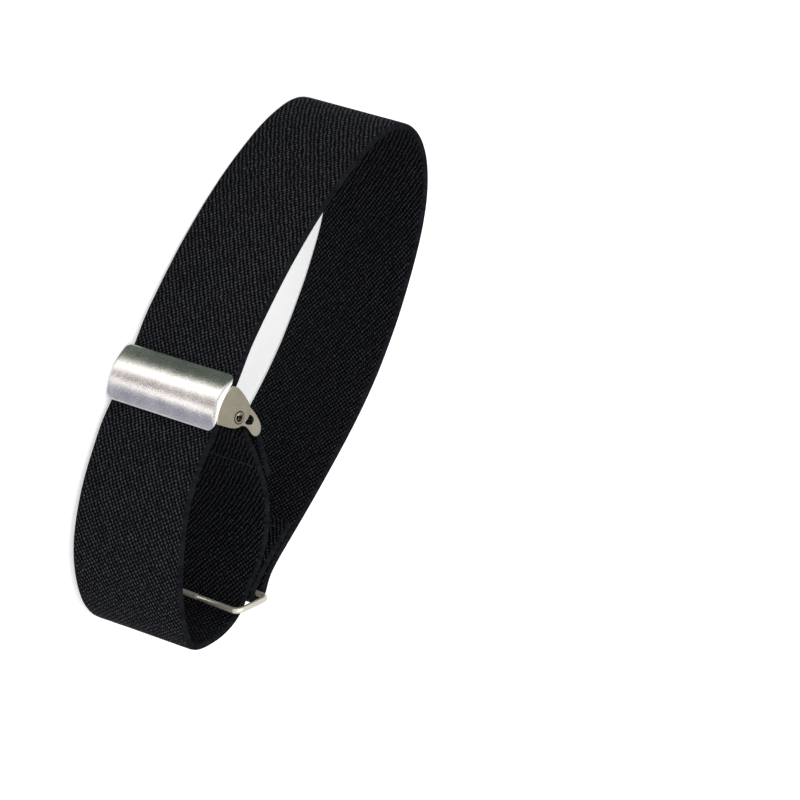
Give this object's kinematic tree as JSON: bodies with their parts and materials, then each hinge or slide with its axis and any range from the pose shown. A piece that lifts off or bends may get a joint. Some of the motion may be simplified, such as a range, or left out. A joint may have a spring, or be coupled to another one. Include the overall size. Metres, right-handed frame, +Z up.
{
  "type": "shirt sleeve holder",
  "caption": "Elastic sleeve holder lying on its side: a woven strap runs through an adjusting clamp with a bulged plate and is closed by a rectangular wire ring.",
  "frame": {"origin": "on the surface that the holder lies on, under the middle of its outline", "axes": "+X along the loop towards the end with the wire ring, +Y from the side with the clamp towards the plain side, +Z up, along the strap's width"},
  "size_m": [0.1166, 0.0498, 0.0349],
  "materials": {
    "elastic_band": "near-black woven elastic, matt",
    "cover_plate": "satin nickel plate, finely brushed along its length",
    "clamp_frame": "plain nickel plate",
    "clamp_lever": "plain nickel plate",
    "wire_ring": "bright nickel plate"
  },
  "bodies": {
    "root": {"elastic_band": "elastic_band", "cover_plate": "cover_plate", "clamp_frame": "clamp_frame", "clamp_lever": "clamp_lever", "wire_ring": "wire_ring"}
  },
  "joints": []
}
